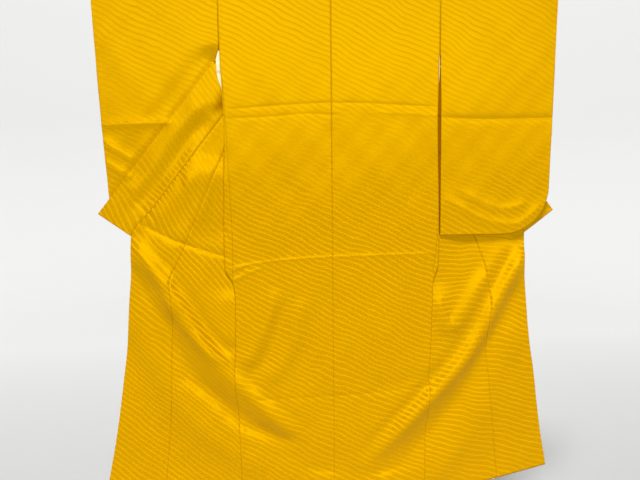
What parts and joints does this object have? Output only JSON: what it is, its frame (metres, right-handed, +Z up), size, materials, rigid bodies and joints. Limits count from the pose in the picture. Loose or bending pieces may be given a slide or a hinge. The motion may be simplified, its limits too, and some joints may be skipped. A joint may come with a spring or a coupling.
{
  "type": "kimono on a hanging rod",
  "caption": "Full-length silk kimono seen from its back, sleeves spread on a hanging rod, both fronts opened outwards beside the back.",
  "frame": {"origin": "the hook's bearing point, at the top of its crook's inner side", "axes": "+Z up; -Y towards the viewer, who faces the garment's back; +X to the viewer's right, the wearer's right"},
  "size_m": [1.35, 0.0806, 1.6744],
  "materials": {
    "silk": "figured silk with a soft sheen, pale lining behind",
    "lining": "plain pale silk",
    "rod_wood": "plain satin wood",
    "hook_wire": "plain bent wire"
  },
  "bodies": {
    "root": {"back_left": "silk", "back_right": "silk", "front_left_shoulder": "silk", "front_right_shoulder": "silk", "front_left": "silk", "front_right": "silk", "overlap_left": "silk", "overlap_right": "silk", "collar_left": "silk", "collar_right": "silk", "over_collar": "silk", "sleeve_left_back": "silk", "sleeve_left_front": "silk", "sleeve_right_back": "silk", "sleeve_right_front": "silk", "lining_left": "lining", "rod": "rod_wood", "hook": "hook_wire"}
  },
  "joints": []
}
